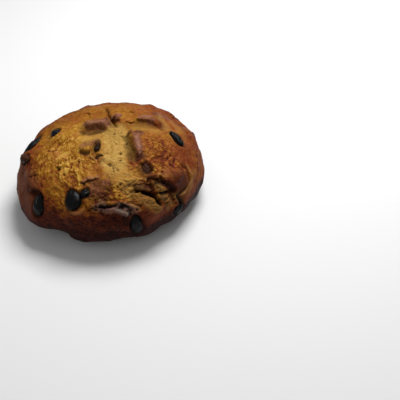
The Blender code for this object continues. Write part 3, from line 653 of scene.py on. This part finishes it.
def smooth_crust(directions):
    """The crust with its scores, folds, ribs and lumps but none of the fine relief, and the painted shade
    of its cracks, grooves and edges."""
    points, along, rising, normals = dome_frame(directions)
    wandered = wandering(points, BEND, ASIDE, 1)
    over = directions[:, 2] > 0
    shade = np.zeros(len(points))
    moved = -(score_depth(wandered * (1, 1, 0)) * over)[:, None] * normals
    edges, ribs = stretches()
    for on_top, path, (levels,) in edges:
        reach = max(levels[1], levels[3]) + 2 * EDGE_SPREAD
        near, *way = beside(wandered, normals, over, on_top, path, reach)
        height, gathered, dark = edge_relief(*way, levels)
        moved[near] += height[:, None] * normals[near] + gathered
        shade[near] = np.maximum(shade[near], dark)
    for on_top, path, (half_width, height) in ribs:
        near, offset, _, _ = beside(wandered, normals, over, on_top, path, half_width)
        moved[near] += (height * bell(offset / half_width))[:, None] * normals[near]
        if height < 0:
            shade[near] = np.maximum(shade[near], min(1, -height / DARK_GROOVE) * bell(offset / half_width))
    for seed, (wavelength, height) in enumerate(LUMPS, 7):
        moved += height * noise(points, wavelength, seed)[:, None] * normals
    return points + moved, along, rising, normals, shade


def raisin_places():
    """Where each raisin lies: its middle, its axes (length, width, out of the crust) and half sizes."""
    places = []
    for azimuth, rise, length, width, thickness, turn, sunk in RAISINS:
        points, along, rising, normals, _ = smooth_crust(towards(azimuth, rise)[None])
        lengthwise = along[0] * cos(radians(turn)) + rising[0] * sin(radians(turn))
        axes = np.array([lengthwise, np.cross(normals[0], lengthwise), normals[0]])
        places.append((points[0] - sunk * normals[0], axes, np.array([length, width, thickness]) / 2))
    return places


def pocket_relief(points, places):
    """The pockets that the raisins lie in: how far they move the crust, and the painted shade round each."""
    moved, rim = np.zeros((2, len(points)))
    depth, start, slope = POCKET_BED
    bend, unevenness = POCKET_UNEVENNESS
    lip_height, lip_out, lip_width = POCKET_LIP
    groove_depth, groove_out, groove_width = POCKET_GROOVE
    for middle, axes, half in places:
        local = (points - middle) @ axes.T
        near = np.abs(local[:, 2]) < POCKET_REACH
        taper = 1 - RAISIN_TAPER * np.clip(local[:, 0] / half[0], -1, 1)
        share = np.hypot(local[:, 0] / half[0], local[:, 1] / half[1] / taper)
        share += noise(points, bend, 31) * unevenness
        outside = (share - 1) * min(half[0], half[1])
        bed = -depth * half[2] * ease((start - share) / slope)
        groove = -groove_depth * bell((outside - groove_out) / groove_width)
        lip = lip_height * bell((outside - lip_out) / lip_width)
        moved += (bed + groove + lip) * near
        rim = np.maximum(rim, bell((outside - groove_out) / POCKET_SHADE_WIDTH) * near)
    return moved, rim


def painted(points, normals, over):
    """What the crust shows where, by name, from 0 to 1."""
    shows = {name: np.zeros(len(points)) for name in PAINTS}
    wandered = wandering(points, BEND, ASIDE, 1)
    broad, fine = FRAYS
    fray = wandering(wandering(points, *broad, 21), *fine, 24) - points
    rows = [(True, on_plan(stops), numbers, name) for name, stops, *numbers in TOP_PAINTS]
    rows += [(False, on_side(stops), numbers, name) for name, stops, *numbers in SIDE_PAINTS]
    for on_top, path, (half_width, border, amount), name in rows:
        place = wandered + fray * ease(border / FRAYED_BORDER)
        near, offset, _, _ = beside(place, normals, over, on_top, path, half_width + border)
        share = amount * ease(0.5 + (half_width - np.abs(offset)) / border)
        shows[name][near] = np.maximum(shows[name][near], share)
    return shows


def unrolled(directions, points, longer, seed):
    """Points laid out so that noise is drawn out round the loaf, with uneven edges."""
    flat = unit(directions * (1, 1, 0) + [TINY, 0, 0])
    rolled = flat * RADIUS * ROLLED_SHARE / longer
    rolled[:, 2] = rise_of(directions) * RADIUS * ROLLED_SHARE + STROKE_SLANT * (flat @ towards(315, 0))
    broad, fine = STROKE_BENDS
    warp = wandering(points, *broad, seed) + wandering(points, *fine, seed + 3) - 2 * points
    return rolled + warp + 1


def strokes(directions, points, sizes, seed):
    """How far thin raised and sunk strokes move each place out of the crust."""
    spacing, height, depth, longer = sizes
    rolled = unrolled(directions, points, longer, seed)
    raised = ease((creases(rolled, spacing, seed + 6) - 0.2) / 0.8)
    sunk = ease((creases(rolled, spacing * 1.25, seed + 7) - 0.3) / 0.7)
    return height * raised - depth * sunk


def finished_crust(directions, places):
    """Points of the crust with all its relief, and what shows where."""
    base, _, _, normals = dome_frame(directions)
    points, _, _, _, shade = smooth_crust(directions)
    shows = painted(base, normals, directions[:, 2] > 0)
    pocket, rim = pocket_relief(points, places)
    rise = np.degrees(rise_of(directions))
    smooth_side = ease((SMOOTH_BELOW - rise) / SMOOTH_OVER)
    on_top = ease((rise - TOP_ABOVE) / TOP_OVER)
    fine = strokes(directions, base, STROKES, 101) + strokes(directions, base, FINE_STROKES, 121)
    patchy = np.clip(0.85 + 0.9 * noise(points, 0.024, 57), 0.2, 1.4)
    shows["flaky"] = patchy * (1 - 0.75 * smooth_side) * (1 - 0.65 * ease((base[:, 1] + 0.03) / 0.045))
    shows["flaky"] *= 1 - 0.7 * shows["opened"] * on_top
    shows["flaky"] *= (1 - 0.4 * shows["skin"]) * (1 - shows["smooth"])
    fine *= shows["flaky"]
    fine += strokes(directions, base, FOLDS, 141) * shows["folded"]
    crumpled = wandering(points, 0.006, 0.0022, 61) * (0.4, 1, 1)
    crumple = creases(crumpled, 0.0044, 64) * CRUMPLE * shows["char"]
    bubbles = noise(points, PORE_SPACING, 71)
    open_share = 0.15 + 0.85 * shows["opened"] * on_top
    pores = -PORE_DEPTH * ease((bubbles - 0.52) / 0.2) * open_share
    # Painted shade in the pores of the opened crumb, and in the pits below.
    shows["painted_pore_shade"] = ease((bubbles - 0.5) / 0.2) * open_share
    for azimuth, pit_rise, radius, depth in PITS:
        middle = smooth_crust(towards(azimuth, pit_rise)[None])[0][0]
        away = length_of(points - middle)[:, 0] / radius
        pores -= depth * bell(away / PIT_FOOT)
        shows["painted_pore_shade"] = np.maximum(shows["painted_pore_shade"], bell(away / PIT_FOOT))
    # The fine relief's height, by which the material paints highlight on the crests and shade in the
    # hollows.
    shows["wrinkle"] = np.clip(0.5 + (fine + crumple) / WRINKLE_SPAN, 0, 1)
    shows["shade"] = np.maximum(shade, 0.8 * rim)
    moved = pocket + (fine + crumple) * (1 - rim) + pores
    points = points + moved[:, None] * normals
    points[:, 2] = np.maximum(points[:, 2], 0)
    shows["baked"] = baked(directions, base)
    right_share = ease((base[:, 0] - 0.005) / 0.045)
    shows["ruddy"] = 0.42 * right_share + 0.3 * ease((base[:, 1] - 0.02) / 0.04)
    return points, shows, unrolled(directions, base, GRAIN_LENGTH, 161)


def baked(directions, points):
    """How dark each place is baked, from 0 on the palest dough to 1 on the nearly black underside."""
    rise = np.degrees(rise_of(directions))
    azimuth = azimuth_of(directions) % 360
    azimuths, golden_to, side_shade = np.array(BAKING).T
    limit = np.interp(azimuth, azimuths, golden_to)
    limit = limit + 5 * noise(points, 0.022, 81) + 4 * noise(points, 0.008, 82)
    golden = 0.29 + 0.08 * noise(points, 0.03, 83) + 0.04 * noise(points, 0.012, 84)
    golden += 0.1 * ease((points[:, 1] - 0.03) / 0.03) + 0.07 * ease((points[:, 0] - 0.015) / 0.035)
    for patch_azimuth, patch_rise, half_angle, more in GOLDEN_PATCHES:
        golden += more * bell(angle_from(directions, patch_azimuth, patch_rise) / half_angle)
    side = ease((limit - rise + 9) / 20)
    under = ease((6 - rise) / 16)
    shade = golden + (np.interp(azimuth, azimuths, side_shade) - golden) * side
    return np.clip(shade + (UNDERSIDE_SHADE - shade) * under, 0, 1)


# ---------------------------------------------------------------- meshes


def crust_grid():
    """Directions from the heart, row by row, and the faces between them: a square cap over the top, rings
    down the sides, and one face for the underside."""
    steps = np.tan(np.linspace(-1, 1, CELLS + 1) * np.pi / 4)
    right, back = np.meshgrid(steps, steps)
    cap = unit(np.stack([right, back, np.ones_like(right)], axis=-1).reshape(-1, 3))
    number = np.arange((CELLS + 1) ** 2).reshape(CELLS + 1, CELLS + 1)
    quads = [np.stack([number[:-1, :-1], number[:-1, 1:], number[1:, 1:], number[1:, :-1]], axis=-1)]
    edge = np.concatenate([number[0, :-1], number[:-1, -1], number[-1, :0:-1], number[:0:-1, 0]])
    around = cap[edge]
    azimuth = np.arctan2(around[:, 1], around[:, 0])
    highest = np.arcsin(around[:, 2])
    ring_numbers = [edge]
    rings = []
    for row in range(1, RING_ROWS + 1):
        rise = highest + (radians(LOWEST_RISE) - highest) * row / RING_ROWS
        flat = np.cos(rise)
        rings.append(np.stack([flat * np.cos(azimuth), flat * np.sin(azimuth), np.sin(rise)], axis=-1))
        ring_numbers.append(len(cap) + (row - 1) * len(edge) + np.arange(len(edge)))
    upper, lower = np.array(ring_numbers[:-1]), np.array(ring_numbers[1:])
    next_upper, next_lower = np.roll(upper, -1, axis=1), np.roll(lower, -1, axis=1)
    quads.append(np.stack([upper, lower, next_lower, next_upper], axis=-1))
    faces = np.concatenate([part.reshape(-1, 4) for part in quads]).tolist()
    faces.append(ring_numbers[-1][::-1].tolist())
    directions = np.concatenate([cap, *rings])
    return unit(directions + FINER * towards(*FINEST_PLACE)), faces


def add_mesh(name, points, faces, material, node):
    """A smooth-shaded piece that stands for a CAD node."""
    mesh = bpy.data.meshes.new(name)
    mesh.from_pydata(points.tolist(), [], faces)
    mesh.shade_smooth()
    mesh.materials.append(material)
    piece = bpy.data.objects.new(name, mesh)
    bpy.context.scene.collection.objects.link(piece)
    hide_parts(node)
    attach(piece, "root")
    return piece


def add_shares(piece, shows):
    """What shows where, kept on the mesh for its material."""
    for name, values in shows.items():
        layer = piece.data.attributes.new(name, "FLOAT", "POINT")
        layer.data.foreach_set("value", values.astype(np.float32))


def add_crust(places, material):
    directions, faces = crust_grid()
    points, shows, grain = finished_crust(directions, places)
    piece = add_mesh("crust", points, faces, material, "loaf")
    layout = piece.data.attributes.new("grain", "FLOAT_VECTOR", "POINT")
    layout.data.foreach_set("vector", grain.astype(np.float32).ravel())
    add_shares(piece, shows)


def add_raisin(number, place, material):
    """One raisin: a flattened ball, creased along its length."""
    middle, axes, half = place
    name = f"raisin_{number:02d}"
    maker = bmesh.new()
    bmesh.ops.create_icosphere(maker, subdivisions=RAISIN_SMOOTHNESS + 1, radius=1)
    round_points = np.array([vertex.co for vertex in maker.verts])
    faces = [[vertex.index for vertex in face.verts] for face in maker.faces]
    maker.free()
    local = round_points * half
    local[:, 1:] *= 1 - RAISIN_TAPER * round_points[:, :1]
    local *= (1 + RAISIN_UNEVENNESS * noise(round_points, RAISIN_HUMP, number))[:, None]
    stretched = local * (0.55, 1, 1) + number
    relief = np.zeros(len(local))
    for seed, (wavelength, height) in enumerate(RAISIN_WRINKLES, 91):
        relief -= height * ease(1 - 2.2 * np.abs(noise(stretched, wavelength, seed)))
    relief += RAISIN_SWELL
    local += unit(local / half**2) * relief[:, None]
    points = middle + local @ axes
    piece = add_mesh(f"{name}_skin", points, faces, material, name)
    above = ease(unit(points - middle)[:, 2] * 1.2 + 0.5)
    # Painted shade in the raisin's wrinkles, darker the deeper they are.
    crease_shade = np.clip(-relief / CREASE_DEPTH + 0.3, 0, 1)
    add_shares(piece, {"crease_shade": crease_shade, "coat": COATS.get(number, 0) * above})


# ---------------------------------------------------------------- materials


NOISE_STRETCH = (0.3, 0.7)  # where nearly all of a noise lies
# From pale to nearly black: how far baked, the mustard crust, the ruddy crust.
BAKED_COLOURS = (
    (0.0, (204, 158, 68), (204, 148, 80)),
    (0.14, (180, 129, 42), (180, 116, 50)),
    (0.28, (154, 101, 22), (156, 90, 34)),
    (0.42, (134, 79, 14), (136, 70, 24)),
    (0.56, (116, 58, 12), (116, 50, 19)),
    (0.7, (92, 38, 11), (92, 34, 15)),
    (0.83, (68, 24, 9), (68, 20, 11)),
    (1.0, (36, 10, 5), (36, 9, 6)),
)
TEAR_HEIGHT = -4  # of the torn skin's bump, for its share of darkness


class Nodes:
    """A material's nodes, made and joined by short calls."""

    def __init__(self, name):
        self.material = bpy.data.materials.new(name)
        self.material.use_nodes = True
        self.tree = self.material.node_tree
        self.shader = self.tree.nodes["Principled BSDF"]

    def link(self, source, target):
        self.tree.links.new(source, target)

    def make(self, kind, **settings):
        node = self.tree.nodes.new(kind)
        for key, value in settings.items():
            setattr(node, key, value)
        return node

    def mask(self, name, share=1):
        """What the mesh says of each place, from 0 to 1, times a share."""
        value = self.make("ShaderNodeAttribute", attribute_name=name).outputs["Fac"]
        return value if share == 1 else self.times(value, share)

    def noise(self, wavelength, detail=2, roughness=0.5, swirl=0.0, layout=None):
        """Noise, 0 to 1, fixed to the piece, or to the layout that the mesh holds by this name."""
        if layout:
            place = self.make("ShaderNodeAttribute", attribute_name=layout).outputs["Vector"]
        else:
            place = self.make("ShaderNodeTexCoord").outputs["Object"]
        node = self.make("ShaderNodeTexNoise")
        node.inputs["Scale"].default_value = 1 / wavelength
        node.inputs["Detail"].default_value = detail
        node.inputs["Distortion"].default_value = swirl
        node.inputs["Roughness"].default_value = roughness
        self.link(place, node.inputs["Vector"])
        return node.outputs["Fac"]

    def sum(self, first, second, operation="ADD", clamp=False):
        node = self.make("ShaderNodeMath", operation=operation, use_clamp=clamp)
        for socket, value in zip(node.inputs, (first, second)):
            if isinstance(value, (int, float)):
                socket.default_value = value
            else:
                self.link(value, socket)
        return node.outputs["Value"]

    def times(self, first, second, clamp=False):
        return self.sum(first, second, "MULTIPLY", clamp)

    def crest(self, value, half_width):
        """1 where a noise crosses its middle, falling to 0 at half a width from there."""
        away = self.sum(self.sum(value, 0.5, "SUBTRACT"), 0, "ABSOLUTE")
        return self.scaled(away, 0, half_width, 1, 0)

    def scaled(self, value, low, high, new_low=0.0, new_high=1.0):
        """A value's stretch from low to high, laid over the stretch from new_low to new_high."""
        node = self.make("ShaderNodeMapRange")
        self.link(value, node.inputs["Value"])
        for socket, number in zip(list(node.inputs)[1:5], (low, high, new_low, new_high)):
            socket.default_value = number
        return node.outputs["Result"]

    def spread(self, noise, low, high):
        """A noise, from low to high."""
        return self.scaled(noise, *NOISE_STRETCH, low, high)

    def tears(self, roughness, swirl, *sizes):
        """Dark gaps less pale strips along the mesh's grain, each by its spacing, half width and share."""
        gaps, strips = (
            self.times(self.crest(self.noise(spacing, 2, roughness, swirl, "grain"), half_width), share)
            for spacing, half_width, share in sizes
        )
        return self.sum(gaps, strips, "SUBTRACT")

    def ramp(self, value, *stops):
        """A colour for each value between the stops, each a place from 0 to 1 and an sRGB colour."""
        node = self.make("ShaderNodeValToRGB")
        elements = node.color_ramp.elements
        while len(elements) < len(stops):
            elements.new(0.5)
        for element, (place, colour) in zip(elements, stops):
            element.position = place
            element.color = (*linear(colour), 1)
        self.link(value, node.inputs["Fac"])
        return node.outputs["Color"]

    def mix(self, share, first, second, blend="MIX"):
        """Two colours, with this share of the second."""
        node = self.make("ShaderNodeMix", data_type="RGBA", blend_type=blend)
        for socket, value in zip((node.inputs[0], node.inputs[6], node.inputs[7]), (share, first, second)):
            if isinstance(value, tuple):
                socket.default_value = (*linear(value), 1)
            elif isinstance(value, (int, float)):
                socket.default_value = value
            else:
                self.link(value, socket)
        return node.outputs[2]

    def bump(self, height, distance, strength=1.0, under=None):
        node = self.make("ShaderNodeBump")
        node.inputs["Distance"].default_value = distance
        node.inputs["Strength"].default_value = strength
        self.link(height, node.inputs["Height"])
        if under is not None:
            self.link(under, node.inputs["Normal"])
        return node.outputs["Normal"]


def linear(colour):
    """An sRGB colour in 0 to 255 as the linear colour that materials take."""
    return tuple(
        ((value / 255 + 0.055) / 1.055) ** 2.4 if value > 10 else value / 255 / 12.92 for value in colour
    )


def crust_material():
    nodes = Nodes("baked_crust")
    speckle = nodes.noise(0.0014, 3, 0.65)
    mottle = nodes.noise(0.0034, 4, 0.65)
    blotch = nodes.noise(0.0095, 3, 0.55)
    flaky, folded = nodes.mask("flaky"), nodes.mask("folded")
    torn = nodes.tears(0.55, 0.4, (0.006, 0.09, 0.22), (0.005, 0.1, 0.17))
    fine_torn = nodes.tears(0.5, 0.3, (0.0042, 0.11, 0.34), (0.0036, 0.13, 0.24))
    baked_more = nodes.mask("baked")
    for patches, reach in ((blotch, 0.07), (mottle, 0.1), (speckle, 0.09)):
        baked_more = nodes.sum(baked_more, nodes.spread(patches, -reach, reach))
    for tear, place in ((torn, flaky), (fine_torn, folded)):
        baked_more = nodes.sum(baked_more, nodes.times(tear, place))
    # Painted light: the fine relief's crests lighter, its hollows darker.
    baked_more = nodes.sum(baked_more, nodes.scaled(nodes.mask("wrinkle"), 0, 1, 0.26, -0.2), clamp=True)
    mustard, ruddy = (
        nodes.ramp(baked_more, *((row[0], row[column]) for row in BAKED_COLOURS)) for column in (1, 2)
    )
    broad_hue = nodes.scaled(nodes.noise(0.017, 2, 0.5), 0.38, 0.66, -0.1, 0.5)
    small_hue = nodes.scaled(nodes.noise(0.0062, 2, 0.5, 0.8), 0.42, 0.62, -0.25, 0.4)
    hue = nodes.sum(nodes.sum(broad_hue, small_hue), nodes.mask("ruddy"), clamp=True)
    colour = nodes.mix(hue, mustard, ruddy)
    crumb = nodes.ramp(
        nodes.sum(mottle, nodes.spread(speckle, -0.16, 0.16)),
        (0.25, (144, 103, 38)),
        (0.5, (184, 142, 68)),
        (0.75, (210, 172, 96)),
    )
    skin = nodes.ramp(
        nodes.sum(mottle, nodes.spread(speckle, -0.14, 0.14)),
        (0.3, (64, 28, 20)),
        (0.5, (114, 66, 48)),
        (0.7, (164, 112, 88)),
    )
    # The charred folds, with painted highlight on the crests of their wrinkles and painted shade in their
    # creases.
    char = nodes.ramp(
        nodes.sum(speckle, nodes.scaled(nodes.mask("wrinkle"), 0, 1, -0.4, 0.4)),
        (0.3, (22, 10, 8)),
        (0.62, (52, 29, 24)),
        (0.95, (116, 80, 66)),
    )
    # Painted highlights: small pinkish glints.
    painted_glint = nodes.scaled(nodes.noise(0.0011, 1), 0.56, 0.7)
    # What lies over the baked crust, from the lowest up: where and how much of it shows, and its colour.
    layers = (
        (nodes.mask("opened", 0.9), crumb),
        # Painted shade, olive-brown, in valleys and hollows and under steps.
        (nodes.mask("green", 0.78), (86, 62, 19)),
        (nodes.times(nodes.mask("skin"), nodes.spread(mottle, 1.15, 0.45), clamp=True), skin),
        # Painted highlight, pinkish, on the tops of the flaps, ridges and the knob.
        (nodes.mask("sheen", 0.55), (178, 128, 106)),
        # Partly darker crust and partly painted shade, on shaded faces, hollows and the knob's lower side.
        (nodes.times(nodes.mask("dark"), nodes.spread(mottle, 1.1, 0.64), clamp=True), (62, 23, 8)),
        (nodes.times(painted_glint, nodes.mask("glints")), (176, 118, 98)),
        (nodes.mask("char"), char),
        # Whitish painted highlight on the charred folds of the seam.
        (nodes.mask("ash"), (130, 110, 96)),
        # Painted highlight, pale, along raised strands and lips.
        (nodes.mask("pale", 0.8), (172, 124, 66)),
        (nodes.mask("shade", 0.8), (28, 12, 6)),
        # Painted shade, nearly black, deep in crevices and grooves.
        (nodes.mask("gap"), (9, 4, 3)),
        # Painted shade in the pores and pits.
        (nodes.mask("painted_pore_shade", 0.75), (58, 34, 10)),
    )
    for share, layer in layers:
        colour = nodes.mix(share, colour, layer)
    nodes.link(colour, nodes.shader.inputs["Base Color"])
    gloss = nodes.sum(nodes.mask("skin"), nodes.mask("char"), "MAXIMUM")
    roughness = nodes.sum(nodes.spread(mottle, 0.58, 0.72), nodes.times(gloss, 0.22), "SUBTRACT")
    nodes.link(roughness, nodes.shader.inputs["Roughness"])
    nodes.shader.inputs["Specular IOR Level"].default_value = 0.1
    rough = nodes.bump(mottle, 0.001, 0.6)
    for tear, place, strength in ((torn, flaky, 0.6), (fine_torn, folded, 0.8)):
        rough = nodes.bump(nodes.times(tear, nodes.times(place, TEAR_HEIGHT)), 0.0006, strength, rough)
    nodes.link(nodes.bump(speckle, 0.0006, 0.7, rough), nodes.shader.inputs["Normal"])
    return nodes.material


def raisin_material():
    nodes = Nodes("dried_raisin_skin")
    bloom = nodes.noise(0.0035, 3, 0.6)
    colour = nodes.ramp(bloom, (0.35, (3, 4, 5)), (0.6, (6, 7, 9)), (0.85, (16, 19, 22)))
    # Painted shade in the wrinkles.
    colour = nodes.mix(nodes.mask("crease_shade"), colour, (6, 4, 5))
    colour = nodes.mix(nodes.mask("coat"), colour, (74, 38, 17))
    nodes.link(colour, nodes.shader.inputs["Base Color"])
    roughness = nodes.sum(nodes.spread(bloom, 0.34, 0.5), nodes.mask("coat", 0.35))
    nodes.link(roughness, nodes.shader.inputs["Roughness"])
    nodes.shader.inputs["Specular IOR Level"].default_value = 0.14
    nodes.link(nodes.bump(nodes.noise(0.0008, 3, 0.6), 0.0002, 0.5), nodes.shader.inputs["Normal"])
    return nodes.material


# ---------------------------------------------------------------- the stage

CAMERA_ELEVATION = 43
CAMERA_PLACE = (0.0911, -0.6264, 0.5704)
CAMERA_LENS = 71.9  # millimetres
CAMERA_SENSOR = 36
FLOOR_SIZE = 6
FLOOR_SHADE = 0.9
FLOOR_ROUGHNESS = 0.9
KEY_LIGHT = dict(place=(0.22, 0.34, 0.85), size=0.45, watts=8.4)
FILL_LIGHT = dict(place=(-0.5, -0.9, 0.9), size=1.2, watts=1.2)
SKY_STRENGTH = 0.25


def add_light(name, place, size, watts):
    data = bpy.data.lights.new(name, "AREA")
    data.size = size
    data.energy = watts
    light = bpy.data.objects.new(name, data)
    bpy.context.scene.collection.objects.link(light)
    light.location = place
    light.rotation_euler = (Vector(place) - Vector(HEART)).to_track_quat("Z", "Y").to_euler()


def add_stage():
    """A pale floor, soft light from above and behind, and the camera at the photograph's viewing angle."""
    mesh = bpy.data.meshes.new("floor")
    half = FLOOR_SIZE / 2
    corners = [(-half, -half, 0), (half, -half, 0), (half, half, 0), (-half, half, 0)]
    mesh.from_pydata(corners, [], [(0, 1, 2, 3)])
    floor = bpy.data.objects.new("floor", mesh)
    bpy.context.scene.collection.objects.link(floor)
    pale = bpy.data.materials.new("pale_floor")
    pale.use_nodes = True
    shader = pale.node_tree.nodes["Principled BSDF"]
    shader.inputs["Base Color"].default_value = (FLOOR_SHADE,) * 3 + (1,)
    shader.inputs["Roughness"].default_value = FLOOR_ROUGHNESS
    mesh.materials.append(pale)
    add_light("key", **KEY_LIGHT)
    add_light("fill", **FILL_LIGHT)
    world = bpy.data.worlds.new("studio")
    world.use_nodes = True
    world.node_tree.nodes["Background"].inputs["Color"].default_value = (1, 1, 1, 1)
    world.node_tree.nodes["Background"].inputs["Strength"].default_value = SKY_STRENGTH
    bpy.context.scene.world = world
    bpy.context.scene.view_settings.view_transform = "Standard"
    data = bpy.data.cameras.new("camera")
    data.lens = CAMERA_LENS
    data.sensor_width = CAMERA_SENSOR
    camera = bpy.data.objects.new("camera", data)
    bpy.context.scene.collection.objects.link(camera)
    camera.location = CAMERA_PLACE
    camera.rotation_euler = (radians(90 - CAMERA_ELEVATION), 0, 0)
    bpy.context.scene.camera = camera


add_stage()
raisin_spots = raisin_places()
add_crust(raisin_spots, crust_material())
raisin_look = raisin_material()
for raisin_number, raisin_spot in enumerate(raisin_spots, 1):
    add_raisin(raisin_number, raisin_spot, raisin_look)
